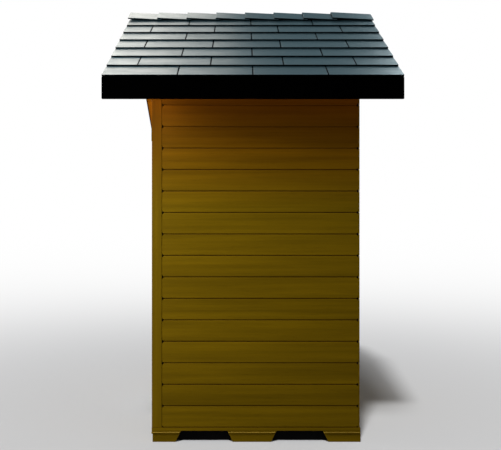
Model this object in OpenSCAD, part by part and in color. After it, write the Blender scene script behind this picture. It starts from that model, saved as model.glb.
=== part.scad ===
// Outdoor sauna cabin: a boarded timber room on a notched plinth, under a shingled gable roof.
// Millimetres. The front gable faces -X and the ridge runs along X.
// The origin lies on the ground, at the centre of the roof's outline.

/* [Cabin] */
// Length of the walls, from the front face to the back face
cabin_l = 1228; // [1000:2:2400]
// Width of the walls, from one long side to the other
cabin_w = 1780; // [1400:2:2400]
// Thickness of the wall panels
wall_t = 44; // [34:1:60]
// Thickness of the cladding skin on the back gable
back_skin_t = 8; // [6:1:16]
// Face width of one wall board
board_h = 127; // [95:1:150]
// Depth of the V groove between two boards
groove_d = 5; // [2:0.5:7]
// Size of the square corner posts
post_w = 59; // [46:1:80]

/* [Base] */
// Height of the plinth, which is where the lowest board starts
plinth_h = 86; // [70:1:140]
// Thickness of the plinth boards
plinth_t = 41; // [24:1:44]
// How far the plinth stands proud of the walls
plinth_proud = 3; // [0:0.5:12]
// How far the bead stands proud of the plinth
bead_proud = 4; // [1:0.5:8]
// Height of the bead's centre above the ground
bead_z = 54; // [30:1:60]
// Height of the bead
bead_h = 11; // [6:1:16]
// Height of the cut-outs between the feet
cut_h = 66; // [40:1:68]
// Width of a cut-out at the ground
cut_w = 340; // [200:5:400]
// How much narrower a cut-out is at each end of its top
cut_slant = 33; // [0:1:60]
// From the front wall to the middle of the first cut-out of a long side
side_cut_x = 310; // [220:5:320]
// From one cut-out of a long side to the next
side_cut_pitch = 565; // [440:5:600]
// From one cut-out of a gable side to the next
gable_cut_pitch = 565; // [420:5:600]
// Width of the base timbers behind the plinth
bearer_w = 60; // [40:5:100]
// Thickness of the floor panel
floor_t = 20; // [15:1:28]

/* [Door] */
// Width of the doorway
door_w = 690; // [600:10:760]
// Height of the doorway in wall boards
door_boards = 15; // [14:1:15]
// Thickness of the door lining
lining_t = 45; // [25:1:60]
// How far the door lining stands proud of the wall
lining_proud = 10; // [0:1:20]
// Thickness of the glass door
glass_t = 8; // [6:1:12]
// Gap round the glass door
glass_gap = 4; // [2:0.5:8]
// From the wall's front face back to the glass
glass_inset = 12; // [6:1:24]
// Diameter of the handle bar
handle_d = 28; // [20:1:36]
// Length of the handle bar
handle_l = 420; // [300:10:600]
// Clear space between the glass and the handle bar
handle_gap = 38; // [30:1:60]
// Diameter of the two posts that carry the handle bar
handle_post_d = 14; // [10:1:20]
// Height of the handle bar's middle above the floor
handle_z = 1000; // [850:10:1150]
// From the glass door's free edge to the handle bar
handle_edge = 70; // [40:5:120]
// Height of a hinge clamp
hinge_h = 80; // [50:5:120]
// How far a hinge clamp reaches over the glass
hinge_w = 48; // [30:2:80]
// Thickness of a hinge clamp's plate on each face of the glass
hinge_t = 6; // [4:0.5:10]
// From the glass door's ends to the middle of a hinge clamp
hinge_end = 220; // [120:10:350]

/* [Roof] */
// Slope of the roof in degrees
pitch = 30; // [24:1:36]
// Overhang past the front wall
front_overhang = 252; // [150:1:400]
// Overhang past the back wall
back_overhang = 212; // [150:1:400]
// Overhang past the long walls
eave_overhang = 240; // [120:1:320]
// Height of the fascia's lower edge above the ground
fascia_z = 1990; // [1960:1:2100]
// Height of the fascia board at its outer face
fascia_h = 120; // [100:1:150]
// Thickness of the fascia boards
fascia_t = 20; // [14:1:28]
// Thickness of the trims along the gable edges of the roof
rake_t = 5; // [4:0.5:12]
// How far the gable trims reach below the roof boards
rake_drop = 12; // [4:1:40]
// Thickness of the roof boards
deck_t = 18; // [14:1:22]
// Length of each shingle course that shows, along the slope
course_l = 171; // [140:1:200]
// Courses on each side, below the ridge caps
courses = 7; // [5:1:7]
// Thickness of a shingle at its lower edge
butt_t = 14; // [6:0.5:16]
// Thickness of a course at its head, where the next one covers it
head_t = 3; // [2:0.5:5]
// Size of the roof's beam and purlins, across
beam_w = 45; // [35:1:70]
// Depth of the ridge beam
ridge_beam_h = 120; // [90:5:160]
// Depth of the purlins
purlin_h = 95; // [70:5:120]
// From the middle of the cabin to a purlin
purlin_y = 500; // [430:10:560]

/* [Ridge] */
// Length of the last ridge cap, which no other covers
last_cap_l = 284; // [240:1:330]
// Length of a cap that the next one covers
cap_lap = 30; // [20:1:50]
// Width of each leg of a ridge cap
cap_leg = 140; // [100:1:165]
// Thickness of a ridge cap
cap_t = 9; // [6:0.5:12]
// How far the first and last cap reach past the roof's ends
cap_overhang = 9; // [0:1:20]

/* [Hidden] */

seat = 0.3;                                    // clearance where one piece seats on another
over = 1;                                      // how far a cutter runs past what it cuts

roof_l = front_overhang + cabin_l + back_overhang;
roof_x0 = -roof_l / 2;
roof_x1 = roof_l / 2;
front_x = roof_x0 + front_overhang;            // outer face of the front wall
back_x = roof_x1 - back_overhang;              // outer face of the back wall
side_y = cabin_w / 2;                          // outer face of the long walls
eave_y = side_y + eave_overhang;               // outer face of the fascias
eave_z = fascia_z + fascia_h;                  // top of the fascia's outer edge
ridge_z = eave_z + eave_y * tan(pitch);        // where the roof boards' tops meet
deck_drop = deck_t / cos(pitch);               // the roof boards' thickness, measured upright
slope_l = eave_y / cos(pitch);                 // length of one slope

door_z = plinth_h + door_boards * board_h;     // top of the doorway
glass_x = front_x + glass_inset;               // outer face of the glass

wood = "peru";
dark = "#2b2b2b";

// ---- shared shapes ----

// Draws a section given as [y, z] and pulls it along X
module along_x(x0, x1) {
    translate([x0, 0, 0]) rotate([90, 0, 90]) linear_extrude(x1 - x0) children();
}

// Draws a section given as [x, z] and pulls it along Y
module along_y(y0, y1) {
    translate([0, y1, 0]) rotate([90, 0, 0]) linear_extrude(y1 - y0) children();
}

// A box between two corners
module block(low, high) {
    translate(low) cube(high - low);
}

// Height of the roof boards' top and underside at a distance from the middle
function deck_top(y) = ridge_z - abs(y) * tan(pitch);
function deck_under(y) = deck_top(y) - deck_drop;

// Point on the right slope: s up from the eave, h out from the roof boards
function on_slope(s, h) = [
    -eave_y + s * cos(pitch) - h * sin(pitch),
    eave_z + s * sin(pitch) + h * cos(pitch)
];

// Everything below the roof boards between two places across the cabin
module under_roof(y0, y1, z0, drop = 0) {
    peak = y0 < 0 && y1 > 0 ? [[0, deck_under(0) - drop]] : [];
    polygon(concat(
        [[y0, z0], [y1, z0], [y1, deck_under(y1) - drop]],
        peak,
        [[y0, deck_under(y0) - drop]]
    ));
}

// ---- base ----

module gable_bearer(x0, x1) {
    y = side_y + plinth_proud - plinth_t;
    color(dark) block([x0, -y, 0], [x1, y, plinth_h - floor_t]);
}

module front_bearer() {
    x = front_x - plinth_proud + plinth_t;
    gable_bearer(x, x + bearer_w);
}

module back_bearer() {
    x = back_x + plinth_proud - plinth_t;
    gable_bearer(x - bearer_w, x);
}

module right_bearer() {
    inset = plinth_t - plinth_proud;
    y = -side_y + inset;
    color(dark) block(
        [front_x + inset + bearer_w, y, 0],
        [back_x - inset - bearer_w, y + bearer_w, plinth_h - floor_t]
    );
}

module left_bearer() {
    mirror([0, 1, 0]) right_bearer();
}

// One plinth board standing at y = 0 with its face towards -Y, from 0 to length along X,
// with trapezoid cut-outs between its feet and a bead above them
module plinth_board(length, cuts) {
    slot = cut_slant / cut_h;
    difference() {
        union() {
            block([0, 0, 0], [length, plinth_t, plinth_h]);
            translate([0, 0, bead_z - bead_h / 2]) along_x(0, length) polygon([
                [over, 0], [0, 0], [-bead_proud, bead_h * 0.35],
                [-bead_proud, bead_h * 0.65], [0, bead_h], [over, bead_h]
            ]);
        }
        for (x = cuts) along_y(-bead_proud - over, plinth_t + over) polygon([
            [x - cut_w / 2 - slot * over, -over], [x + cut_w / 2 + slot * over, -over],
            [x + cut_w / 2 - cut_slant, cut_h], [x - cut_w / 2 + cut_slant, cut_h]
        ]);
    }
}

module right_plinth() {
    length = cabin_l + 2 * plinth_proud;
    first = side_cut_x + plinth_proud;
    color(wood) translate([front_x - plinth_proud, -side_y - plinth_proud, 0])
        plinth_board(length, [first, first + side_cut_pitch]);
}

module left_plinth() {
    mirror([0, 1, 0]) right_plinth();
}

module gable_plinth() {
    length = cabin_w + 2 * plinth_proud - 2 * plinth_t;
    mid = length / 2;
    plinth_board(length, [mid - gable_cut_pitch, mid, mid + gable_cut_pitch]);
}

module front_plinth() {
    color(wood) translate([front_x - plinth_proud, side_y + plinth_proud - plinth_t, 0])
        rotate([0, 0, -90]) gable_plinth();
}

module back_plinth() {
    color(wood) translate([back_x + plinth_proud, -side_y - plinth_proud + plinth_t, 0])
        rotate([0, 0, 90]) gable_plinth();
}

module floor_panel() {
    inset = plinth_t - plinth_proud;
    color("burlywood") block(
        [front_x + inset, -side_y + inset, plinth_h - floor_t],
        [back_x - inset, side_y - inset, plinth_h]
    );
}

// ---- posts and walls ----

module front_right_post() {
    color(wood) along_x(front_x, front_x + post_w)
        under_roof(-side_y, -side_y + post_w, plinth_h, seat);
}

module front_left_post() {
    mirror([0, 1, 0]) front_right_post();
}

// Face of a boarded wall as [depth, height]: grooves cut to groove_d at every board joint
function board_face(top) = [
    for (i = [1 : ceil((top - plinth_h) / board_h) - 1])
        let (z = plinth_h + i * board_h)
            each [[0, z - groove_d], [groove_d, z], [0, z + groove_d]]
];

// Section of a boarded wall whose outer face is at -side_y, under the slope of the roof
module long_wall_section() {
    top = deck_under(side_y) - seat;
    outer = [for (p = board_face(top - 2 * groove_d)) [-side_y + p[0], p[1]]];
    polygon(concat(
        [[-side_y, plinth_h]], outer,
        [[-side_y, top], [-side_y + wall_t, deck_under(side_y - wall_t) - seat],
         [-side_y + wall_t, plinth_h]]
    ));
}

module right_wall() {
    color(wood) along_x(front_x + post_w + seat, back_x - back_skin_t - seat) long_wall_section();
}

module left_wall() {
    mirror([0, 1, 0]) right_wall();
}

// Holes for the ridge beam and purlins in a gable wall
module beam_holes(x0, x1) {
    along_x(x0 - over, x1 + over) {
        offset(delta = seat) ridge_beam_section();
        for (side = [0, 1]) mirror([side, 0]) offset(delta = seat) purlin_section();
    }
}

module back_wall() {
    y = side_y - wall_t - seat;
    x1 = back_x - back_skin_t - seat;
    x0 = x1 - wall_t + back_skin_t;
    color(wood) difference() {
        along_x(x0, x1) under_roof(-y, y, plinth_h, seat);
        beam_holes(x0, x1);
    }
}

// Grooves across a gable face at every board joint, to be cut from it
module gable_grooves(x, facing, y0, y1) {
    rows = ceil((deck_under(0) - plinth_h) / board_h) - 1;
    along_y(y0 - over, y1 + over) for (i = [1 : rows]) {
        z = plinth_h + i * board_h;
        reach = groove_d + over;
        polygon([
            [x + facing * over, z - reach], [x - facing * groove_d, z], [x + facing * over, z + reach]
        ]);
    }
}

module back_skin() {
    x0 = back_x - back_skin_t;
    color(wood) difference() {
        along_x(x0, back_x) under_roof(-side_y, side_y, plinth_h, seat);
        beam_holes(x0, back_x);
        gable_grooves(back_x, 1, -side_y, side_y);
    }
}

// Part of the front wall between two places across it, up to the roof
module front_wall_part(y0, y1, z0) {
    color(wood) difference() {
        along_x(front_x, front_x + wall_t) under_roof(y0, y1, z0, seat);
        beam_holes(front_x, front_x + wall_t);
        gable_grooves(front_x, -1, y0, y1);
    }
}

module front_right_wall() {
    front_wall_part(-side_y + post_w + seat, -door_w / 2, plinth_h);
}

module front_left_wall() {
    mirror([0, 1, 0]) front_right_wall();
}

module front_gable() {
    front_wall_part(-door_w / 2 + seat, door_w / 2 - seat, door_z);
}

// ---- door ----

module door_jambs() {
    color(wood) for (side = [0, 1]) mirror([0, side, 0]) block(
        [front_x - lining_proud, -door_w / 2 + seat, plinth_h],
        [front_x + wall_t, -door_w / 2 + lining_t, door_z - lining_t - seat]
    );
}

module door_head() {
    color(wood) block(
        [front_x - lining_proud, -door_w / 2 + seat, door_z - lining_t],
        [front_x + wall_t, door_w / 2 - seat, door_z - seat]
    );
}

module door_threshold() {
    y = door_w / 2 - lining_t - seat;
    color(wood) block(
        [front_x - lining_proud, -y, plinth_h],
        [front_x + wall_t, y, plinth_h + lining_t / 2]
    );
}

glass_y = door_w / 2 - lining_t - glass_gap;
glass_z0 = plinth_h + lining_t / 2 + glass_gap;
glass_z1 = door_z - lining_t - glass_gap;

module glass_pane(grow = 0) {
    block(
        [glass_x - grow, -glass_y - grow, glass_z0 - grow],
        [glass_x + glass_t + grow, glass_y + grow, glass_z1 + grow]
    );
}

module glass_door() {
    color("lightblue", 0.5) glass_pane();
}

// Two clamps that grip the edge of the glass, fixed to the right jamb
module door_hinges() {
    y = -door_w / 2 + lining_t + seat;
    color("silver") difference() {
        for (z = [glass_z0 + hinge_end, glass_z1 - hinge_end]) block(
            [glass_x - hinge_t, y, z - hinge_h / 2],
            [glass_x + glass_t + hinge_t, y + hinge_w, z + hinge_h / 2]
        );
        glass_pane(seat);
    }
}

handle_x = glass_x - handle_gap - handle_d / 2;
handle_y = glass_y - handle_edge;
handle_mid = plinth_h + handle_z;
handle_reach = handle_l * 0.36;                // from the bar's middle to a post

module handle_bar() {
    color(wood) translate([handle_x, handle_y, handle_mid - handle_l / 2])
        cylinder(h = handle_l, d = handle_d, $fn = 32);
}

module handle_posts() {
    color("silver") for (z = [handle_mid - handle_reach, handle_mid + handle_reach])
        translate([handle_x + handle_d / 2 + seat, handle_y, z]) rotate([0, 90, 0])
            cylinder(h = handle_gap - 2 * seat, d = handle_post_d, $fn = 24);
}

// ---- roof frame ----

module ridge_beam_section() {
    y = beam_w / 2;
    top = deck_under(y) - seat;
    polygon([
        [-y, deck_under(0) - ridge_beam_h], [y, deck_under(0) - ridge_beam_h],
        [y, top], [0, deck_under(0) - seat], [-y, top]
    ]);
}

module purlin_section() {
    y0 = -purlin_y - beam_w / 2;
    y1 = -purlin_y + beam_w / 2;
    low = deck_under(y0) - purlin_h;
    polygon([[y0, low], [y1, low], [y1, deck_under(y1) - seat], [y0, deck_under(y0) - seat]]);
}

beam_x0 = roof_x0 + fascia_t + seat;
beam_x1 = roof_x1 - fascia_t - seat;
deck_x0 = roof_x0 + rake_t + seat;
deck_x1 = roof_x1 - rake_t - seat;

module ridge_beam() {
    color(wood) along_x(beam_x0, beam_x1) ridge_beam_section();
}

module purlins() {
    color(wood) for (side = [0, 1]) mirror([0, side, 0]) along_x(beam_x0, beam_x1) purlin_section();
}

module right_deck() {
    y0 = -eave_y + fascia_t + seat;
    color(wood) along_x(deck_x0, deck_x1) polygon([
        [y0, deck_under(y0)], [-seat / 2, deck_under(seat / 2)],
        [-seat / 2, deck_top(seat / 2)], [y0, deck_top(y0)]
    ]);
}

module left_deck() {
    mirror([0, 1, 0]) right_deck();
}

module right_fascia() {
    y1 = -eave_y + fascia_t;
    color(dark) along_x(roof_x0, roof_x1) polygon([
        [-eave_y, fascia_z], [y1, fascia_z], [y1, deck_top(y1)], [-eave_y, eave_z]
    ]);
}

module left_fascia() {
    mirror([0, 1, 0]) right_fascia();
}

module rake(x0) {
    y0 = -eave_y + fascia_t + seat;
    y1 = -seat / 2;
    color(dark) along_x(x0, x0 + rake_t) polygon([
        [y0, deck_under(y0) - rake_drop], [y1, deck_under(y1) - rake_drop],
        [y1, deck_top(y1)], [y0, deck_top(y0)]
    ]);
}

module front_right_rake() {
    rake(roof_x0);
}

module front_left_rake() {
    mirror([0, 1, 0]) front_right_rake();
}

module back_right_rake() {
    rake(roof_x1 - rake_t);
}

module back_left_rake() {
    mirror([0, 1, 0]) back_right_rake();
}

// ---- shingles and ridge ----

// Stepped outline of the courses: each rises by the butt's thickness and thins out under the next
function course_steps() = [
    for (i = [0 : courses - 1])
        each [on_slope(i * course_l, butt_t), on_slope((i + 1) * course_l, head_t)]
];

module right_shingles() {
    ridge_top = [-seat / 2, ridge_z - seat / 2 * tan(pitch) + head_t / cos(pitch)];
    color("slategray") along_x(roof_x0, roof_x1) polygon(concat(
        [on_slope(0, 0)], course_steps(),
        [ridge_top, [-seat / 2, deck_top(seat / 2)]]
    ));
}

module left_shingles() {
    mirror([0, 1, 0]) right_shingles();
}

// The ridge caps lie in a saw-tooth along the ridge: the head of each rests on the one before
caps = 8;                                      // each has its own node
cap_x0 = roof_x0 - cap_overhang;
cap_x1 = roof_x1 + cap_overhang;
cap_pitch = (cap_x1 - cap_x0 - last_cap_l) / (caps - 1);
cap_rise = cap_t / cos(pitch) + seat;
cap_tilt = atan(cap_rise / cap_pitch);
cap_leg_s = slope_l - cap_leg;
cap_leg_share = (cap_leg_s - (courses - 1) * course_l) / course_l;
cap_seat_h = butt_t - (butt_t - head_t) * min(1, max(0, cap_leg_share));
cap_z = ridge_z + (cap_seat_h + seat) / cos(pitch);

// Bent section of a cap, with the inside of its fold at the origin
module cap_section() {
    leg = [cap_leg * cos(pitch), -cap_leg * sin(pitch)];
    out = [cap_t * sin(pitch), cap_t * cos(pitch)];
    polygon([
        [0, 0], [-leg[0], leg[1]], [-leg[0] - out[0], leg[1] + out[1]],
        [0, cap_t / cos(pitch)], [leg[0] + out[0], leg[1] + out[1]], [leg[0], leg[1]]
    ]);
}

// Cap number i, counted from the front: its tail lies on the courses and its head is raised
module ridge_cap(i) {
    x0 = cap_x0 + i * cap_pitch;
    x1 = i == caps - 1 ? cap_x1 : x0 + cap_pitch + cap_lap;
    high = cap_z + cap_pitch;
    color("slategray") intersection() {
        translate([x1, 0, cap_z]) rotate([0, cap_tilt, 0])
            along_x(x0 - x1 - cap_t, cap_t) cap_section();
        block([x0, -cap_leg, fascia_z], [x1, cap_leg, high]);
    }
}

module ridge_cap_1() { ridge_cap(0); }
module ridge_cap_2() { ridge_cap(1); }
module ridge_cap_3() { ridge_cap(2); }
module ridge_cap_4() { ridge_cap(3); }
module ridge_cap_5() { ridge_cap(4); }
module ridge_cap_6() { ridge_cap(5); }
module ridge_cap_7() { ridge_cap(6); }
module ridge_cap_8() { ridge_cap(7); }

front_bearer();
back_bearer();
right_bearer();
left_bearer();
front_plinth();
back_plinth();
right_plinth();
left_plinth();
floor_panel();
front_right_post();
front_left_post();
right_wall();
left_wall();
back_wall();
back_skin();
front_right_wall();
front_left_wall();
front_gable();
door_jambs();
door_head();
door_threshold();
glass_door();
door_hinges();
handle_bar();
handle_posts();
ridge_beam();
purlins();
right_deck();
left_deck();
right_fascia();
left_fascia();
front_right_rake();
front_left_rake();
back_right_rake();
back_left_rake();
right_shingles();
left_shingles();
ridge_cap_1();
ridge_cap_2();
ridge_cap_3();
ridge_cap_4();
ridge_cap_5();
ridge_cap_6();
ridge_cap_7();
ridge_cap_8();
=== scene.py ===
import math
import random

import bmesh
import bpy
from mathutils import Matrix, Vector


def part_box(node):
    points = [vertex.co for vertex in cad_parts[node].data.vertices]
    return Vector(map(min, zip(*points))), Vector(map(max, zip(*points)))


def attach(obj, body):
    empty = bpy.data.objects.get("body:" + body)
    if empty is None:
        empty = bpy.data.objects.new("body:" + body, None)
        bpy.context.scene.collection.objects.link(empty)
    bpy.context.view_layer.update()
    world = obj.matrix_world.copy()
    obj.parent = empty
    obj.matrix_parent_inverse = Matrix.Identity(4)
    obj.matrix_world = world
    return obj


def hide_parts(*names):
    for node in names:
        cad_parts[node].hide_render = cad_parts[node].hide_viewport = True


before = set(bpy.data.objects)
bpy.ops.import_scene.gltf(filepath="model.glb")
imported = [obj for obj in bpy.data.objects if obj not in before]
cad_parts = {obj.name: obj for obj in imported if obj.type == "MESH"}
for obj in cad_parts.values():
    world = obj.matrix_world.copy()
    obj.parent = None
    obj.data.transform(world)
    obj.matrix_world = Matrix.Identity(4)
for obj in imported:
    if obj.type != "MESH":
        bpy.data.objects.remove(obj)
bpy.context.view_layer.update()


# ---------------------------------------------------------------- camera
# A level view, square on to one long side, from the eye height of a short person and a little to
# the front of the middle. The small shifts only place the cabin in the picture.
wall_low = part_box("right_wall")[0]
lens = bpy.data.cameras.new("camera")
lens.lens = 52.2
lens.sensor_width = 36.0
lens.shift_x = 0.017
lens.shift_y = -0.014
camera = bpy.data.objects.new("camera", lens)
camera.location = (-0.061, wall_low[1] - 4.294, 1.324)
camera.rotation_euler = (math.radians(90), 0, 0)
bpy.context.scene.collection.objects.link(camera)
bpy.context.scene.camera = camera


# ---------------------------------------------------------------- studio
# A pale grey floor that whitens with distance, under a plain white surround. Soft lamps stand
# round the cabin, and two high lamps side by side, which reach only the floor, cast its shadow.
# Two raking lamps spare the front, and the front and the ridge caps have lamps of their own.
class Wire:
    """A socket of a shader. Sums and products of wires add Math nodes."""

    def __init__(self, tree, end=None):
        self.tree = tree
        self.end = end

    def node(self, kind, settings=None, sockets=None, out=0):
        made = self.tree.nodes.new("ShaderNode" + kind)
        for name, value in (settings or {}).items():
            if name == "stops":
                ramp = made.color_ramp
                while len(ramp.elements) < len(value):
                    ramp.elements.new(1.0)
                for stop, (place, colour) in zip(ramp.elements, value):
                    stop.position = place
                    stop.color = (*colour, 1)
            else:
                setattr(made, name, value)
        for name, value in (sockets or {}).items():
            if isinstance(value, Wire):
                self.tree.links.new(value.end, made.inputs[name])
            else:
                made.inputs[name].default_value = value
        return Wire(self.tree, made.outputs[out] if len(made.outputs) else None)

    def math(self, operation, first, second):
        return self.node("Math", {"operation": operation}, {0: first, 1: second})

    def __add__(self, other):
        return self.math("ADD", self, other)

    def __sub__(self, other):
        return self.math("SUBTRACT", self, other)

    def __rsub__(self, other):
        return self.math("SUBTRACT", other, self)

    def __mul__(self, other):
        return self.math("MULTIPLY", self, other)

    def __truediv__(self, other):
        return self.math("DIVIDE", self, other)

    def __pow__(self, other):
        return self.math("POWER", self, other)

    __radd__ = __add__
    __rmul__ = __mul__

    def between(self, low, high, new_low=0.0, new_high=1.0):
        """The wire's value stretched from one span to another, and held there."""
        spans = {"From Min": low, "From Max": high, "To Min": new_low, "To Max": new_high}
        return self.node("MapRange", {"clamp": True}, {"Value": self, **spans})

    def mix(self, first, second):
        """A colour between two others, with the wire as the share of the second."""
        return self.node("Mix", {"data_type": "RGBA"}, {0: self, 6: first, 7: second}, 2)

    def scaled(self, x, y, z):
        """The wire's vector with each axis multiplied by its own number."""
        return self.node("VectorMath", {"operation": "MULTIPLY"}, {0: self, 1: (x, y, z)})

    def noise(self, scale, detail=3.0, rough=0.5):
        """Noise from 0 to 1 over the wire's vector."""
        return self.node("TexNoise", {}, {
            "Vector": self, "Scale": scale, "Detail": detail, "Roughness": rough
        })


def looks(start):
    """1 for rays that look at a thing, at its mirror image or through glass, else 0."""
    kinds = ("Is Camera Ray", "Is Glossy Ray", "Is Transmission Ray")
    camera_ray, glossy_ray, glass_ray = [start.node("LightPath", out=kind) for kind in kinds]
    return start.math("MAXIMUM", start.math("MAXIMUM", camera_ray, glossy_ray), glass_ray)


floor_grey = (0.549, 0.553, 0.561)
floor_bounce = 0.22
floor_span = 150.0
grey_reach = 0.5
fade_power = 2.6
fade_half = 50.0

floor_mesh = bpy.data.meshes.new("studio_floor")
floor_mesh.from_pydata(
    [(x * floor_span, y * floor_span, 0) for x, y in ((-1, -1), (1, -1), (1, 1), (-1, 1))],
    [], [(0, 1, 2, 3)]
)
floor = bpy.data.objects.new("studio_floor", floor_mesh)
bpy.context.scene.collection.objects.link(floor)

floor_paint = bpy.data.materials.new("studio_floor")
floor_paint.use_nodes = True
floor_paint.node_tree.nodes.clear()
start = Wire(floor_paint.node_tree)
middle = start.node("TexCoord", out="Object")
reach = start.node("VectorMath", {"operation": "LENGTH"}, {0: middle}, "Value")
away = start.math("MAXIMUM", reach - grey_reach, 0.0) ** fade_power
seen = looks(start)
paint = seen.mix((floor_bounce, floor_bounce, floor_bounce, 1), (*floor_grey, 1))
grey = start.node("BsdfDiffuse", {}, {"Color": paint})
white = start.node("Emission", {}, {"Color": (1, 1, 1, 1), "Strength": 1.0})
surface = start.node("MixShader", {}, {0: away / (away + fade_half) * seen, 1: grey, 2: white})
start.node("OutputMaterial", {}, {"Surface": surface})
floor_mesh.materials.append(floor_paint)

ambient = 0.20
overhead_blue = (0.24, 0.39, 0.45, 1)
world = bpy.data.worlds.new("studio_world")
bpy.context.scene.world = world
world.use_nodes = True
world.node_tree.nodes.clear()
start = Wire(world.node_tree)
up = start.node("SeparateXYZ", {}, {0: start.node("TexCoord", out="Generated")}, "Z")
overhead = up.between(0.20, 0.60).mix((1, 1, 1, 1), overhead_blue)
shine = start.node("LightPath", out="Is Glossy Ray")
backdrop = shine.mix((1, 1, 1, 1), overhead)
soft = start.node("Background", {}, {"Color": (1, 1, 1, 1), "Strength": ambient})
bright = start.node("Background", {}, {"Color": backdrop, "Strength": 1.0})
both = start.node("MixShader", {}, {0: looks(start), 1: soft, 2: bright})
start.node("OutputWorld", {}, {"Surface": both})


def lamp(name, place, target, size, watts, colour=(1, 1, 1)):
    """A square soft lamp that faces a point."""
    light = bpy.data.lights.new(name, "AREA")
    light.shape = "RECTANGLE"
    light.size, light.size_y = size
    light.energy = watts
    light.color = colour
    holder = bpy.data.objects.new(name, light)
    holder.location = place
    aim = Vector(target) - Vector(place)
    holder.rotation_euler = aim.to_track_quat("-Z", "Y").to_euler()
    bpy.context.scene.collection.objects.link(holder)
    return holder


warm = (1.0, 0.955, 0.87)
cool = (0.8, 0.95, 1.0)
raking = [
    lamp("key_softbox", (-2.6, -1.6, 2.8), (-0.2, -0.9, 1.3), (1.0, 1.0), 188),
    lamp("low_softbox", (-4.5, -1.6, 1.0), (-0.4, -0.6, 1.6), (1.4, 1.6), 165),
]
lamps = [
    lamp("fill_softbox", (0.6, -3.4, 5.5), (0.2, -0.9, 1.2), (2.4, 2.4), 24),
    lamp("roof_softbox_1", (-2.1, 2.8, 5.7), (-0.6, -0.8, 2.3), (1.2, 2.4), 38, warm),
    lamp("roof_softbox_2", (-1.5, 2.8, 5.7), (-0.6, -0.8, 2.3), (1.2, 2.4), 19, warm),
    lamp("roof_softbox_3", (-0.8, 2.8, 5.7), (-0.4, -0.8, 2.3), (1.2, 2.4), 15, warm),
    lamp("roof_softbox_4", (2.6, 3.0, 5.4), (0.6, -0.8, 2.3), (1.2, 2.0), 52, cool),
    lamp("side_softbox", (2.6, 4.6, 3.0), (0, 0.9, 1.2), (2.4, 2.4), 110),
    lamp("back_softbox", (4.8, 0.4, 2.6), (0.6, 0, 1.3), (2.4, 2.4), 90),
]

only_floor = bpy.data.collections.new("lit_by_shadow_lamps")
only_floor.objects.link(floor)
for name, fall, spread, energy in (
    ("shadow_lamp_1", (0.147, 0.582, -1.0), 4.8, 1.88),
    ("shadow_lamp_2", (0.095, 0.466, -1.0), 8.0, 1.17),
):
    sun = bpy.data.lights.new(name, "SUN")
    sun.energy = energy
    sun.angle = math.radians(spread)
    holder = bpy.data.objects.new(name, sun)
    holder.rotation_euler = Vector(fall).to_track_quat("-Z", "Y").to_euler()
    holder.light_linking.receiver_collection = only_floor
    bpy.context.scene.collection.objects.link(holder)


def lights(name, some):
    """A collection that says what some lamps light."""
    group = bpy.data.collections.new(name)
    for holder in some:
        holder.light_linking.receiver_collection = group
    return group


def spare(group, thing):
    """Keeps the lamps of a group off a thing."""
    group.objects.link(thing)
    group.collection_objects[-1].light_linking.link_state = "EXCLUDE"


front_parts = (
    "front_right_wall", "front_left_wall", "front_gable", "front_plinth", "base_front", "door_",
    "hinge_", "handle_", "ridge_beam", "purlin"
)
front_lit = lights("lit_by_front_lamp", [
    lamp("front_softbox", (-4.6, 0.3, 2.0), (-0.6, 0, 1.3), (2.4, 2.4), 200),
])
ridge_lit = lights("lit_by_ridge_lamp", [
    lamp("ridge_softbox", (-1.05, 2.8, 5.5), (-0.6, -0.1, 2.7), (1.2, 2.0), 13.5, warm),
])
side_lit = lights("lit_by_raking_lamps", raking)
spare(side_lit, floor)
spare(lights("lit_by_softboxes", lamps), floor)

bpy.context.scene.view_settings.view_transform = "Standard"


# ---------------------------------------------------------------- base timbers
# Four sawn bearers lie on the ground under the floor, set back behind the plinth. They are painted
# with a matt black preservative, which sinks into the sawn grain.
shuffle = random.Random(11)


def prism(axis, outline, start, stop, edge=0.002, rounds=2):
    """A bevelled bar: an outline across the axis, pulled along it. Outlines are (y, z), (x, z)
    or (x, y) for the axes x, y and z."""
    turn = {
        "x": lambda a, b, along: (along, a, b),
        "y": lambda a, b, along: (a, along, b),
        "z": lambda a, b, along: (a, b, along),
    }[axis]
    bar = bmesh.new()
    first = [bar.verts.new(turn(a, b, start)) for a, b in outline]
    last = [bar.verts.new(turn(a, b, stop)) for a, b in outline]
    bar.faces.new(first)
    bar.faces.new(last[::-1])
    for i in range(len(outline)):
        j = (i + 1) % len(outline)
        bar.faces.new((first[j], first[i], last[i], last[j]))
    bmesh.ops.recalc_face_normals(bar, faces=bar.faces)
    if edge:
        bmesh.ops.bevel(
            bar, geom=list(bar.edges), offset=edge, segments=rounds, profile=0.5,
            affect="EDGES", clamp_overlap=True
        )
    return bar


def board(low, high, edge=0.002, rounds=2):
    """A bevelled board between two corners."""
    outline = ((low[1], low[2]), (high[1], low[2]), (high[1], high[2]), (low[1], high[2]))
    return prism("x", outline, low[0], high[0], edge, rounds)


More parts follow.
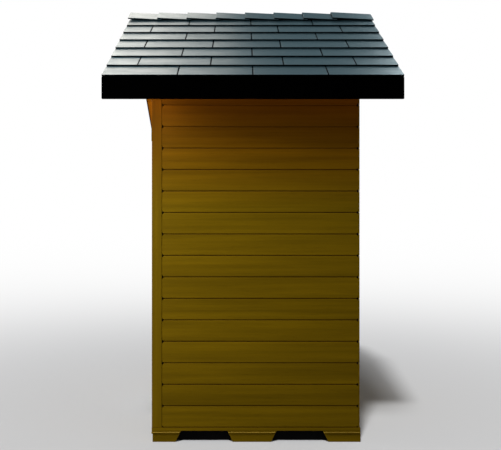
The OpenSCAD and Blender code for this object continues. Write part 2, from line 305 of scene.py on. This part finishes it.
def piece(name, parts, along, coat, slot, *nodes):
    """One object from many parts. Each part has its own tone, and its own grain coordinates that
    start with the direction of its fibres."""
    order = {"x": (0, 1, 2), "y": (1, 0, 2), "z": (2, 0, 1)}[along]
    whole = bmesh.new()
    whole.verts.layers.float_vector.new("grain")
    whole.verts.layers.float.new("tone")
    for part in parts:
        grain = part.verts.layers.float_vector.new("grain")
        tone = part.verts.layers.float.new("tone")
        shade = shuffle.random()
        away = Vector((shuffle.uniform(0, 9), shuffle.uniform(0, 9), shuffle.uniform(0, 9)))
        for vert in part.verts:
            vert[grain] = Vector([vert.co[i] for i in order]) + away
            vert[tone] = shade
        step = bpy.data.meshes.new("part")
        part.to_mesh(step)
        part.free()
        whole.from_mesh(step)
        bpy.data.meshes.remove(step)
    mesh = bpy.data.meshes.new(name)
    whole.to_mesh(mesh)
    whole.free()
    mesh.materials.append(coat)
    made = bpy.data.objects.new(name, mesh)
    bpy.context.scene.collection.objects.link(made)
    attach(made, "root")
    if nodes:
        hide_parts(*nodes)
    if name.startswith(front_parts):
        spare(side_lit, made)
        if slot != "hardware":
            front_lit.objects.link(made)
    elif name.startswith("ridge_cap"):
        ridge_lit.objects.link(made)


def finish(name, wires, **settings):
    """A material whose shader takes the wires made by a function, and plain numbers besides."""
    made = bpy.data.materials.new(name)
    made.use_nodes = True
    shader = made.node_tree.nodes["Principled BSDF"]
    for socket, value in settings.items():
        shader.inputs[socket.replace("_", " ")].default_value = value
    for socket, wire in wires(Wire(made.node_tree)).items():
        made.node_tree.links.new(wire.end, shader.inputs[socket])
    return made


def black_preservative(start):
    grain = start.node("Attribute", {"attribute_name": "grain"}, out="Vector")
    saw = grain.scaled(6, 160, 160).noise(1.0, 4.0, 0.6)
    blotch = grain.scaled(3, 9, 9).noise(1.0)
    colour = (saw * 0.6 + blotch * 0.4).mix((0.001, 0.001, 0.0012, 1), (0.005, 0.0045, 0.0045, 1))
    normal = start.node("Bump", {}, {"Height": saw, "Strength": 0.35, "Distance": 0.002})
    return {"Base Color": colour, "Roughness": saw.between(0, 1, 0.7, 0.95), "Normal": normal}


black_base = finish("black_base", black_preservative, Specular_IOR_Level=0.05)
for name in ("front_bearer", "back_bearer", "right_bearer", "left_bearer"):
    low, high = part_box(name)
    along = "x" if name in ("right_bearer", "left_bearer") else "y"
    piece("base_" + name, [board(low, high)], along, black_base, "black_base", name)


# ---------------------------------------------------------------- plinth
# A skirt of planed boards round the base, stained like the walls. Trapezoid notches leave broad
# feet, and a small milled bead runs along the feet just under the top of the notches.
cut_height = 0.066
cut_width = 0.340
cut_slant = 0.033
bead_low = 0.0485
bead_high = 0.0595
bead_out = 0.0030
bead_edge = 0.0050
foot_edge = 0.0008
band_edge = 0.0004
skirt_edge = 0.0012
first_notch = 0.310
notch_pitch = 0.565


# Stain colours by height. Low down is the timber's own stain. The more orange colour under the eaves
# and the lighter one at the top are painted light: the bounce light from the roof boards, with
# painted shade of the eaves.
painted_eave_light = (
    (0.0, (0.178, 0.106, 0.0020)), (0.84, (0.180, 0.060, 0.0012)), (1.0, (0.265, 0.076, 0.0015))
)


# The timber's stain and grain, with painted light: an orange eave glow by height, painted shade on
# sloping bevels and painted highlights on upward bevels.
def stain_and_painted_light(start, stops=painted_eave_light, dark=0.44, groove_shade=1.0, painted_highlight=0.0):
    grain = start.node("Attribute", {"attribute_name": "grain"}, out="Vector")
    tone = start.node("Attribute", {"attribute_name": "tone"}, out="Fac")
    height = start.node("SeparateXYZ", {}, {0: start.node("TexCoord", out="Object")}, "Z")
    slant = start.node("SeparateXYZ", {}, {0: start.node("TexCoord", out="Normal")}, "Z")
    warped = grain.scaled(1.1, 7, 7).noise(1.0, 2.0)
    bands = (grain.scaled(0.7, 26, 26).noise(1.0, 4.0, 0.55) + warped * 0.5).between(0.52, 0.98)
    fibres = grain.scaled(7, 420, 420).noise(1.0, 3.0, 0.6)
    pores = grain.scaled(14, 900, 900).noise(1.0, 1.0).between(0.62, 0.75)
    shade = bands * 0.62 + fibres * 0.20 + tone * 0.18
    # The stain changes with height. Its orange and its lighter top are painted bounce light under
    # the eaves.
    stain_and_eave_light = start.node("ValToRGB", {"stops": stops}, {"Fac": height.between(1.38, 2.02)})
    light = shade.between(0, 1, dark, 1.0)
    colour = stain_and_eave_light.node("VectorMath", {"operation": "SCALE"}, {0: stain_and_eave_light, "Scale": light})
    colour = (pores * 0.35).mix(colour, (0.040, 0.018, 0.0006, 1))
    # Painted shade: sloping bevel faces, as in the V grooves and under the bead, are darkened, fully
    # low down and fading out towards the eaves.
    painted_groove_shade = (slant * slant).between(0.08, 0.40) * height.between(1.60, 2.04, groove_shade, 0.0)
    colour = painted_groove_shade.mix(colour, (0.028, 0.006, 0.0003, 1))
    # Painted highlight: upward-facing bevels are made lighter.
    colour = (slant.between(0.25, 0.60) * painted_highlight).mix(colour, (0.40, 0.28, 0.06, 1))
    relief = fibres * 0.6 + bands * 0.4 - pores * 0.3
    normal = start.node("Bump", {}, {"Height": relief, "Strength": 0.22, "Distance": 0.0012})
    return {"Base Color": colour, "Roughness": fibres.between(0, 1, 0.60, 0.78), "Normal": normal}


oily = {"Specular_IOR_Level": 0.10, "Specular_Tint": (1.0, 0.55, 0.05, 1)}
stained_timber = finish("stained_timber", stain_and_painted_light, **oily)
# The bead has painted shade on its lower bevel and a painted highlight on its upper one.
bead_timber = finish("bead_timber", lambda start: stain_and_painted_light(start, groove_shade=0.4, painted_highlight=0.3), **oily)
# The front's stain turns more orange and lighter towards the top: painted bounce light under the
# eaves.
front_painted_eave_light = ((0.0, (0.178, 0.106, 0.0020)), (1.0, (0.225, 0.098, 0.0018)))
front_timber = finish("front_timber", lambda start: stain_and_painted_light(start, front_painted_eave_light), **oily)


def plinth(
    name, axis, middles, recess, foot_back, foot_ends=(0, 0), band_ends=(0, 0), bead_ends=(0, 0)
):
    """A notched board with a bead on each of its feet. The middles are those of its notches. The
    ends say how far each layer is cut back at its ends, or runs past them where negative."""
    low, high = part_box(name)
    i = "xy".index(axis)
    out = 1 - i
    side = math.copysign(1, low[out] + high[out])
    face = (low[out] if side < 0 else high[out]) - side * recess
    back = high[out] if side < 0 else low[out]
    cross = "yx"[i]
    ends = [low[i]]
    for middle in middles:
        ends += [middle - cut_width / 2, middle + cut_width / 2]
    ends.append(high[i])
    lean = cut_slant / cut_height

    def bar(k, bottom, top, front, edge, rounds, cut=(0, 0)):
        first = k == 0
        last = k == len(ends) - 2
        a = ends[k] + (cut[0] if first else 0)
        b = ends[k + 1] - (cut[1] if last else 0)
        left = 0 if first else lean
        right = 0 if last else lean
        outline = [
            (a - left * bottom, bottom), (b + right * bottom, bottom), (b + right * top, top),
            (a - left * top, top)
        ]
        return prism(cross, outline, front, back, edge, rounds)

    boards = []
    beads = []
    for k in range(0, len(ends), 2):
        boards.append(bar(k, 0, bead_low, face - side * foot_back, foot_edge, 2, foot_ends))
        boards.append(bar(k, bead_high, cut_height, face, band_edge, 1, band_ends))
        front = face + side * bead_out
        beads.append(bar(k, bead_low, bead_high, front, bead_edge, 4, bead_ends))
    a = low[i] + band_ends[0]
    b = high[i] - band_ends[1]
    band = [(a, cut_height), (b, cut_height), (b, high[2]), (a, high[2])]
    boards.append(prism(cross, band, face, back, skirt_edge))
    piece(name + "_board", boards, axis, stained_timber, "stained_timber", name)
    piece(name + "_bead", beads, axis, bead_timber, "stained_timber")


front_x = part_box("front_right_wall")[0][0]
side_notches = [front_x + first_notch, front_x + first_notch + notch_pitch]
gable_notches = [-notch_pitch, 0.0, notch_pitch]
for name in ("right_plinth", "left_plinth"):
    plinth(
        name, "x", side_notches, recess=0.0060, foot_back=0.0020, foot_ends=(0.0070, -0.0030),
        band_ends=(0.0020, -0.0015), bead_ends=(0, -0.0036)
    )
plinth("front_plinth", "y", gable_notches, recess=0.0060, foot_back=0.0050)
plinth("back_plinth", "y", gable_notches, recess=0.0012, foot_back=0.0010)


# ---------------------------------------------------------------- floor
# Planed softwood boards, laid from front to back with narrow gaps, left without a finish.
def bare(start):
    grain = start.node("Attribute", {"attribute_name": "grain"}, out="Vector")
    tone = start.node("Attribute", {"attribute_name": "tone"}, out="Fac")
    rings = grain.scaled(0.9, 34, 34).noise(1.0, 4.0, 0.55)
    fibres = grain.scaled(8, 460, 460).noise(1.0, 3.0, 0.6)
    shade = rings.between(0.3, 0.7) * 0.55 + fibres * 0.2 + tone * 0.25
    colour = shade.mix((0.30, 0.165, 0.065, 1), (0.56, 0.37, 0.19, 1))
    normal = start.node("Bump", {}, {"Height": fibres, "Strength": 0.2, "Distance": 0.001})
    return {"Base Color": colour, "Roughness": fibres.between(0, 1, 0.5, 0.7), "Normal": normal}


bare_timber = finish("bare_timber", bare, Specular_IOR_Level=0.3)
floor_board = 0.096
joint = 0.0015

low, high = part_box("floor_panel")
count = round((high[1] - low[1]) / floor_board)
width = (high[1] - low[1]) / count
planks = []
for k in range(count):
    y = low[1] + k * width
    near = (low[0], y + joint / 2, low[2])
    far = (high[0], y + width - joint / 2, high[2])
    planks.append(board(near, far))
piece("floor_boards", planks, "x", bare_timber, "bare_timber", "floor_panel")


# ---------------------------------------------------------------- corner posts
# Square planed posts with eased edges at the two front corners. The side and front boards end
# against them, and their tops follow the slope of the roof.
pitch_degrees = 30
pitch = math.radians(pitch_degrees)
deck_thickness = 0.018
deck_drop = deck_thickness / math.cos(pitch)
split_drop = 0.0001
seat = 0.0003
ridge_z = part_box("right_deck")[1][2] + split_drop
peak_z = ridge_z - deck_drop - seat
least_volume = 1e-6


def under_roof(bar, edge, rounds=2):
    """Cuts a bar off under both slopes of the roof, then bevels it. None where nothing is left."""
    for side in (-1, 1):
        slope = Vector((0, side * math.sin(pitch), math.cos(pitch)))
        bmesh.ops.bisect_plane(
            bar, geom=bar.verts[:] + bar.edges[:] + bar.faces[:], dist=1e-6,
            plane_co=(0, 0, peak_z), plane_no=slope, clear_outer=True
        )
        rim = [e for e in bar.edges if e.is_boundary]
        if rim:
            bmesh.ops.holes_fill(bar, edges=rim)
    if len(bar.faces) < 4 or bar.calc_volume() < least_volume:
        bar.free()
        return None
    bmesh.ops.recalc_face_normals(bar, faces=bar.faces)
    if edge:
        bmesh.ops.bevel(
            bar, geom=list(bar.edges), offset=edge, segments=rounds, profile=0.5,
            affect="EDGES", clamp_overlap=True
        )
    return bar


cut_spare = 0.020
post_edge = 0.0012
for name in ("front_right_post", "front_left_post"):
    low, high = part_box(name)
    top = high[2] + cut_spare
    section = ((low[1], low[2]), (high[1], low[2]), (high[1], top), (low[1], top))
    timber = under_roof(prism("x", section, low[0], high[0], 0), post_edge, 2)
    piece(name + "_timber", [timber], "z", stained_timber, "stained_timber", name)


# ---------------------------------------------------------------- wall boards
# Horizontal boards of one width with bevelled long edges, so that they meet in a V groove, and
# with snipped corners. They are stained outside and nailed to frames lined with bare boards.
board_height = 0.127
board_depth = 0.030
board_edge = 0.0048
board_gap = 0.0006
board_snip = 0.0115
board_set = 0.0003
skin_edge = 0.0030
least_strip = 0.006
longest_snip_edge = 0.03
paper_depth = 0.006
paper_thickness = 0.002
paper_inset = 0.003
paper_edge = 0.0002
lining_height = 0.0965
lining_edge = 0.0015
base_z = wall_low[2]


def boarding(low, high, rise, along, edge, snip):
    """Rows of boards that fill a box, cut off under the roof. A snip above 0 takes their corners."""
    rows = []
    run = "xy".index(along)
    a, b = low[run], high[run]
    skipped = int((low[2] - base_z + least_strip) / rise)
    z = base_z + skipped * rise
    while z < high[2] - least_strip:
        start = max(z, low[2])
        top = min(z + rise - board_gap, high[2])
        outline = [(a, start), (b, start), (b, top), (a, top)]
        if snip:
            outline = [
                (a + snip, start), (b - snip, start), (b, start + snip), (b, top - snip),
                (b - snip, top), (a + snip, top), (a, top - snip), (a, start + snip)
            ]
        bar = prism("yx"[run], outline, low[1 - run], high[1 - run], 0)
        long = [
            e for e in bar.edges
            if abs(e.verts[0].co[run] - e.verts[1].co[run]) > longest_snip_edge
        ]
        bmesh.ops.bevel(
            bar, geom=long, offset=edge, segments=2, profile=0.5, affect="EDGES",
            clamp_overlap=True
        )
        row = under_roof(bar, 0)
        if row:
            rows.append(row)
        z += rise
    return rows


def cladding(name, coat, low, high, along, edge=board_edge, snip=board_snip):
    """Stained boards outside, and black building paper that shows in their joints and at their
    snipped corners, where its black is painted shade.
    """
    rows = boarding(low, high, board_height, along, edge, snip)
    piece(name + "_boards", rows, along, coat, "stained_timber", name)
    across = 1 - "xy".index(along)
    out = math.copysign(1, low[across] + high[across])
    face = high[across] if out > 0 else low[across]
    span = sorted((face - out * paper_depth, face - out * (paper_depth + paper_thickness)))
    a, b = Vector(low), Vector(high)
    a[1 - across] += paper_inset
    b[1 - across] -= paper_inset
    a[across], b[across] = span
    outline = ((a[1], a[2]), (b[1], a[2]), (b[1], b[2]), (a[1], b[2]))
    # The paper is black, so that it shows as painted shade in the joints and at the snipped corners.
    paper = under_roof(prism("x", outline, a[0], b[0], 0), paper_edge, 1)
    piece(name + "_paper", [paper], along, black_base, "black_base")


def lining(name, low, high, along):
    """Bare boards on the inner side of a wall."""
    rows = boarding(low, high, lining_height, along, lining_edge, 0)
    piece(name, rows, along, bare_timber, "bare_timber")


end_gap = 0.0001
post_gap = 0.0011
for side in ("right", "left"):
    low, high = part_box(side + "_wall")
    out = 1 if side == "left" else -1
    outer = max(low[1] * out, high[1] * out)
    inner = min(low[1] * out, high[1] * out)
    split = outer - board_depth
    faces = sorted(((outer - board_set) * out, split * out))
    backs = sorted((split * out, inner * out))
    cladding(
        side + "_wall", stained_timber, (low[0] + post_gap, faces[0], low[2]),
        (high[0] - end_gap, faces[1], high[2]), "x"
    )
    lining(
        side + "_wall_lining", (low[0], backs[0], low[2]), (high[0], backs[1], high[2]), "x"
    )

low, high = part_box("back_skin")
cladding("back_skin", front_timber, low, high, "y", skin_edge, 0)
low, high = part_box("back_wall")
rows = boarding(low, high, lining_height, "y", lining_edge, 0)
piece("back_wall_boards", rows, "y", bare_timber, "bare_timber", "back_wall")

for name in ("front_right_wall", "front_left_wall", "front_gable"):
    low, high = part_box(name)
    split = low[0] + board_depth
    cladding(name, front_timber, low, (split, high[1], high[2]), "y")
    lining(name + "_lining", (split, low[1], low[2]), high, "y")


# ---------------------------------------------------------------- doorway
# A stained lining of two jambs, a head and a low threshold frames the doorway. It stands a little
# proud of the boards and has rounded edges.
frame_edge = 0.004
for name in ("door_head", "door_threshold"):
    low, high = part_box(name)
    timber = board(low, high, frame_edge, 3)
    piece(name + "_board", [timber], "y", front_timber, "stained_timber", name)

low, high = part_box("door_jambs")
jamb_width = 0.0447
jambs = [
    board(low, (high[0], low[1] + jamb_width, high[2]), frame_edge, 3),
    board((low[0], high[1] - jamb_width, low[2]), high, frame_edge, 3),
]
piece("door_jamb_boards", jambs, "z", front_timber, "stained_timber", "door_jambs")


# ---------------------------------------------------------------- glass door
# One sheet of tempered glass with ground edges and rounded corners. Two brushed steel clamps hang
# it on a jamb, and a turned wooden bar on two steel posts is its handle.
pane_corner = 0.012
pane_edge = 0.0008
corner_steps = 6


def glass(start):
    film = start.node("TexCoord", out="Object").noise(3.0, 4.0, 0.6)
    return {"Roughness": film.between(0.45, 0.8, 0.0, 0.05)}


door_glass = finish(
    "door_glass", glass, Base_Color=(0.86, 0.93, 0.91, 1), Transmission_Weight=1.0, IOR=1.3
)
low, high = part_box("glass_door")
corners = []
for y, z, turn in (
    (high[1], high[2], 0), (low[1], high[2], 90), (low[1], low[2], 180), (high[1], low[2], 270)
):
    middle_y = y - math.copysign(pane_corner, y)
    middle_z = z - pane_corner if z == high[2] else z + pane_corner
    for step in range(corner_steps + 1):
        angle = math.radians(turn + 90 / corner_steps * step)
        corners.append(
            (middle_y + pane_corner * math.cos(angle), middle_z + pane_corner * math.sin(angle))
        )
pane = prism("x", corners, low[0], high[0], pane_edge, 1)
piece("glass_pane", [pane], "z", door_glass, "door_glass", "glass_door")


def brushed(start):
    grain = start.node("Attribute", {"attribute_name": "grain"}, out="Vector")
    lines = grain.scaled(30, 1800, 1800).noise(1.0, 3.0, 0.6)
    tint = lines.mix((0.24, 0.24, 0.235, 1), (0.46, 0.46, 0.45, 1))
    normal = start.node("Bump", {}, {"Height": lines, "Strength": 0.12, "Distance": 0.0004})
    return {"Base Color": tint, "Roughness": lines.between(0, 1, 0.24, 0.40), "Normal": normal}


def ring(axis, centre, profile, sides=28):
    """A turned part: its profile gives pairs of a place along the axis and a radius."""
    turned = bmesh.new()
    loops = []
    for place, radius in profile:
        loop = []
        for k in range(sides):
            angle = math.tau * k / sides
            a, b = radius * math.cos(angle), radius * math.sin(angle)
            spot = {
                "x": (centre[0] + place, centre[1] + a, centre[2] + b),
                "z": (centre[0] + a, centre[1] + b, centre[2] + place),
            }[axis]
            loop.append(turned.verts.new(spot))
        loops.append(loop)
    for first, second in zip(loops, loops[1:]):
        for k in range(sides):
            j = (k + 1) % sides
            turned.faces.new((first[k], first[j], second[j], second[k]))
    turned.faces.new(loops[0][::-1])
    turned.faces.new(loops[-1])
    bmesh.ops.recalc_face_normals(turned, faces=turned.faces)
    return turned


hardware = finish("hardware", brushed, Metallic=1.0)
low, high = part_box("door_hinges")
pane_low, pane_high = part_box("glass_door")
clamp_height = 0.080
clamp_edge = 0.0015
clamp_seat = 0.0002
web_edge = 0.0003
web_gap = 0.0004
screw = 0.0055
screw_rise = 0.022
screw_shift = 0.006
screw_profile = (
    (0.0025, screw), (0.0002, screw), (0, screw - 0.0006), (0, 0.0026), (0.0016, 0.0024)
)
clamps = []
for z in (low[2] + clamp_height / 2, high[2] - clamp_height / 2):
    span_z = (z - clamp_height / 2, z + clamp_height / 2)
    jaws = ((low[0], pane_low[0] - clamp_seat), (pane_high[0] + clamp_seat, high[0]))
    for x0, x1 in jaws:
        clamps.append(board((x0, low[1], span_z[0]), (x1, high[1], span_z[1]), clamp_edge, 3))
    near = (jaws[0][1], low[1], span_z[0])
    far = (jaws[1][0], pane_low[1] - web_gap, span_z[1])
    clamps.append(board(near, far, web_edge, 1))
    for dz in (-screw_rise, screw_rise):
        spot = (low[0], (low[1] + high[1]) / 2 + screw_shift, z + dz)
        clamps.append(ring("x", spot, screw_profile, 20))
piece("hinge_clamps", clamps, "z", hardware, "hardware", "door_hinges")

low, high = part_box("handle_posts")
posts = []
post_r = 0.007
reach = high[0] - low[0]
post_profile = (
    (0, post_r - 0.0008), (0.0008, post_r), (reach - 0.005, post_r),
    (reach - 0.004, post_r - 0.001), (reach - 0.0008, post_r - 0.001), (reach, post_r - 0.002)
)
for z in (low[2] + post_r, high[2] - post_r):
    spot = (low[0], (low[1] + high[1]) / 2, z)
    posts.append(ring("x", spot, post_profile))
piece("handle_post_pins", posts, "x", hardware, "hardware", "handle_posts")

low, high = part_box("handle_bar")
bar_r = (high[0] - low[0]) / 2
spot = ((low[0] + high[0]) / 2, (low[1] + high[1]) / 2, low[2])
reach = high[2] - low[2]
profile = [(0, bar_r * 0.55), (0.0012, bar_r * 0.78), (0.0035, bar_r * 0.93), (0.007, bar_r)]
profile += [(reach - place, radius) for place, radius in profile[::-1]]
bar = ring("z", spot, profile, 40)
piece("handle_turned_bar", [bar], "z", stained_timber, "stained_timber", "handle_bar")


# ---------------------------------------------------------------- roof timbers
# A ridge beam and two purlins run through both gables. Boards with eased edges, laid along the
# roof, are nailed on them and show from below. Their stain is lighter and more orange than the
# walls', as painted light under the eaves.
def deck_top(y):
    return ridge_z - abs(y) * math.tan(pitch)


# Painted light: one lighter, orange stain colour stands in for the bounce light under the eaves, and
# there is no groove shade.
painted_soffit_light = ((0.0, (0.33, 0.098, 0.0016)), (1.0, (0.33, 0.098, 0.0016)))
roof_timber = finish("roof_timber", lambda start: stain_and_painted_light(start, painted_soffit_light, 0.6, 0.0), **oily)
trim_cover = 0.0022
beam_edge = 0.003
deck_edge = 0.0022
ridge_split = 0.0002
low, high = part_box("ridge_beam")
shoulder = deck_top(high[1]) - deck_drop - seat
section = (
    (low[1], low[2]), (high[1], low[2]), (high[1], shoulder), (0, high[2]), (low[1], shoulder)
)
beam = prism("x", section, low[0], high[0], beam_edge)
piece("ridge_beam_timber", [beam], "x", roof_timber, "stained_timber", "ridge_beam")

low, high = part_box("purlins")
purlin_width = 0.045
bars = []
for outer in (low[1], high[1]):
    inner = outer - math.copysign(purlin_width, outer)
    tops = [deck_top(y) - deck_drop - seat for y in (inner, outer)]
    section = ((outer, low[2]), (inner, low[2]), (inner, tops[0]), (outer, tops[1]))
    bars.append(prism("x", section, low[0], high[0], beam_edge))
piece("purlin_timbers", bars, "x", roof_timber, "stained_timber", "purlins")

deck_board = 0.121
ends = (
    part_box("front_right_rake")[0][0] + trim_cover + end_gap,
    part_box("back_right_rake")[1][0] - trim_cover - end_gap,
)
for side, sign in (("right", -1), ("left", 1)):
    low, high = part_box(side + "_deck")
    run = max(abs(low[1]), abs(high[1]))
    count = round(run / math.cos(pitch) / deck_board)
    boards = []
    for k in range(count):
        y0 = k * run / count + ridge_split
        y1 = (k + 1) * run / count
        section = [
            (sign * y, deck_top(y) - drop)
            for y, drop in ((y0, 0), (y1, 0), (y1, deck_drop), (y0, deck_drop))
        ]
        boards.append(prism("x", section, ends[0], ends[1], deck_edge, 2))
    piece(side + "_deck_boards", boards, "x", roof_timber, "stained_timber", side + "_deck")


# ---------------------------------------------------------------- fascias and rakes
# Planed fascia boards in flat black paint close the roof boards under both eaves. Thin trims of
# the same black cover the ends of the roof boards along the gables.
def black_paint(start):
    grain = start.node("Attribute", {"attribute_name": "grain"}, out="Vector")
    brush = grain.scaled(2, 240, 240).noise(1.0, 3.0, 0.6)
    dust = grain.scaled(2, 5, 5).noise(1.0, 3.0)
    colour = dust.mix((0.0001, 0.0001, 0.0001, 1), (0.0004, 0.0004, 0.0005, 1))
    rough = (brush * 0.5 + dust * 0.5).between(0.2, 0.8, 0.34, 0.50)
    normal = start.node("Bump", {}, {"Height": brush, "Strength": 0.15, "Distance": 0.0008})
    return {"Base Color": colour, "Roughness": rough, "Normal": normal}


black_trim = finish("black_trim", black_paint, Specular_IOR_Level=0.0)
fascia_edge = 0.0030
trim_edge = 0.0005
trim_drop = 0.004

for side, sign in (("right", -1), ("left", 1)):
    low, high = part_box(side + "_fascia")
    outer, inner = (low[1], high[1]) if sign < 0 else (high[1], low[1])
    section = [
        (outer, low[2]), (inner, low[2]), (inner, deck_top(inner)), (outer, deck_top(outer))
    ]
    strip = prism("x", section, low[0], high[0], fascia_edge, 3)
    piece(side + "_fascia_board", [strip], "x", black_trim, "black_trim", side + "_fascia")

for end in ("front", "back"):
    for side, sign in (("right", -1), ("left", 1)):
        name = f"{end}_{side}_rake"
        low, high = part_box(name)
        far = low[1] if sign < 0 else high[1]
        near = sign * ridge_split
        drop = deck_drop + trim_drop
        section = [
            (far, deck_top(far) - drop), (near, deck_top(near) - drop), (near, deck_top(near)),
            (far, deck_top(far))
        ]
        x0 = low[0] if end == "front" else high[0] - trim_cover
        x1 = low[0] + trim_cover if end == "front" else high[0]
        strip = prism("x", section, x0, x1, trim_edge)
        piece(name + "_trim", [strip], "y", black_trim, "black_trim", name)


# ---------------------------------------------------------------- shingles
# Tapered shingles of moulded rubber with a dark slate grey face and a faint riven grain. Their
# near-black backs are painted shade: they show at the thick lower ends and in the joints, which
# are staggered by course.
course = 0.171
butt = 0.0122
head = 0.003
shingle_face = 0.0011
shingle_gap = 0.008
shingle_edge = 0.0005
shingle_width = 0.423
short_first = 0.180
least_shingle = 0.02
set_up = 0.0115
set_up_first = 0.0085
tuck_lap = 0.014
tuck_top = head - 0.0008
tuck_under = 0.0006
top_clear = 0.004
layer_gap = 0.0001
back_inset = 0.0006
back_edge = 0.0003
back_top = 0.0005
back_under = 0.0001
back_heel = 0.03


def slate(start):
    grain = start.node("Attribute", {"attribute_name": "grain"}, out="Vector")
    tone = start.node("Attribute", {"attribute_name": "tone"}, out="Fac")
    streaks = grain.scaled(9, 130, 130).noise(1.0, 5.0, 0.62)
    cloud = grain.scaled(5, 11, 11).noise(1.0, 3.0)
    grit = grain.scaled(700, 900, 900).noise(1.0, 2.0)
    shade = (streaks * 0.40 + cloud * 0.25 + grit * 0.1 + tone * 0.25).between(0.25, 0.75)
    colour = shade.mix((0.0045, 0.0160, 0.0215, 1), (0.0130, 0.0330, 0.0420, 1))
    rough = (streaks * 0.6 + cloud * 0.4).between(0.3, 0.7, 0.30, 0.48)
    relief = streaks * 0.7 + cloud * 0.3 + grit * 0.12
    normal = start.node("Bump", {}, {"Height": relief, "Strength": 0.38, "Distance": 0.0012})
    return {"Base Color": colour, "Roughness": rough, "Normal": normal}


# Painted shade: the backs are near black, so that the butts and the joints look shaded.
def painted_shade_back(start):
    grain = start.node("Attribute", {"attribute_name": "grain"}, out="Vector")
    mould = grain.scaled(40, 220, 220).noise(1.0, 3.0, 0.6)
    colour = mould.mix((0.0004, 0.0005, 0.0006, 1), (0.0022, 0.0024, 0.0026, 1))
    normal = start.node("Bump", {}, {"Height": mould, "Strength": 0.2, "Distance": 0.0006})
    return {"Base Color": colour, "Roughness": mould.between(0, 1, 0.7, 0.95), "Normal": normal}


roof_shingle = finish("roof_shingle", slate, Specular_IOR_Level=0.5)
shingle_shade_back = finish("shingle_shade_back", painted_shade_back, Specular_IOR_Level=0.0)


def on_slope(sign, s, h):
    """A point of a slope as (y, z): s up from the eave, and h out from the roof boards."""
    y = eave_y - s * math.cos(pitch) + h * math.sin(pitch)
    return sign * y, eave_z + s * math.sin(pitch) + h * math.cos(pitch)


low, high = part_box("right_fascia")
eave_y = -low[1]
eave_z = deck_top(eave_y)
slope_length = eave_y / math.cos(pitch)
for side, sign in (("right", -1), ("left", 1)):
    low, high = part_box(side + "_shingles")
    shingles = []
    backs = []
    count = int(slope_length / course)
    for k in range(count):
        s0 = k * course + (set_up if k else set_up_first)
        s1 = (k + 1) * course + set_up
        tuck = slope_length - top_clear if k == count - 1 else s1 + tuck_lap
        under = shingle_face + layer_gap
        outline = [
            (s0, butt - shingle_face), (s0, butt), (s1, head), (tuck, tuck_top),
            (tuck, tuck_under), (s1, head - shingle_face)
        ]
        section = [on_slope(sign, s, h) for s, h in outline]
        lift = 0.0 if k == 0 else head
        outline = [
            (s0 + back_inset, lift), (s0 + back_inset, butt - under), (s1, head - under),
            (tuck, back_top), (tuck, back_under)
        ]
        if k:
            outline.append((s0 + back_heel, back_under))
        core = [on_slope(sign, s, h) for s, h in outline]
        backs.append(prism("x", core, low[0] + back_inset, high[0] - back_inset, back_edge, 1))
        cuts = [low[0]]
        step = shingle_width if k % 2 == 0 else short_first
        while step < high[0] - low[0] - least_shingle:
            cuts.append(low[0] + step)
            step += shingle_width
        cuts.append(high[0])
        for x0, x1 in zip(cuts, cuts[1:]):
            a = x0 + (shingle_gap / 2 if x0 > low[0] else 0)
            b = x1 - (shingle_gap / 2 if x1 < high[0] else 0)
            shingles.append(prism("x", section, a, b, shingle_edge, 2))
    node = side + "_shingles"
    piece(side + "_shingle_courses", shingles, "x", roof_shingle, "roof_shingle", node)
    piece(side + "_shingle_backs", backs, "x", shingle_shade_back, "roof_shingle")


# ---------------------------------------------------------------- ridge caps
# Bent caps of the shingle material, laid along the ridge from the front to the back: the raised
# head of each one rests on the cap before it. The fold is rounded, and the edges are eased.
cap_leg = 0.149
cap_thickness = 0.009
fold = 0.016
cap_edge = 0.0008
cap_face = 0.0024
cap_lift = 0.0026
cap_tilt_rise = cap_thickness / math.cos(pitch) + seat
sharp_angle = math.radians(35)


def bent(height, offset):
    """Outline of one side of a cap's section: two legs and a rounded fold between them."""
    reach = cap_leg * math.cos(pitch) + offset * math.sin(pitch)
    peak = height + offset / math.cos(pitch)
    drop = cap_leg * math.sin(pitch) - offset * math.cos(pitch)
    radius = fold + offset
    centre = peak - radius / math.cos(pitch)
    arc = [
        (radius * math.sin(math.radians(a)), centre + radius * math.cos(math.radians(a)))
        for a in range(-pitch_degrees, pitch_degrees + 1, 10)
    ]
    return [(-reach, height - drop)] + arc + [(reach, height - drop)]


cap_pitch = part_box("ridge_cap_2")[0][0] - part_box("ridge_cap_1")[0][0]
for k in range(1, 9):
    name = f"ridge_cap_{k}"
    low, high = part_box(name)
    rise = (high[0] - low[0]) * cap_tilt_rise / cap_pitch
    seat_z = high[2] - rise - cap_thickness / math.cos(pitch) + cap_lift
    split = cap_thickness - cap_face
    # Each cap has a slate face and a near-black back, which is painted shade under the cap's edges.
    for label, coat, inner, outer, trim in (
        ("face", roof_shingle, split + layer_gap, cap_thickness, 0),
        ("back", shingle_shade_back, 0, split, back_inset),
    ):
        section = bent(seat_z, inner)[::-1] + bent(seat_z, outer)
        cap = prism("x", section, low[0] + trim, high[0] - trim, 0)
        for vert in cap.verts:
            vert.co.z += (high[0] - vert.co.x) * cap_tilt_rise / cap_pitch
        sharp = [e for e in cap.edges if e.calc_face_angle(0) > sharp_angle]
        bmesh.ops.bevel(
            cap, geom=sharp, offset=cap_edge, segments=2, profile=0.5, affect="EDGES",
            clamp_overlap=True
        )
        covers = [name] if label == "face" else []
        piece(f"{name}_{label}", [cap], "x", coat, "roof_shingle", *covers)
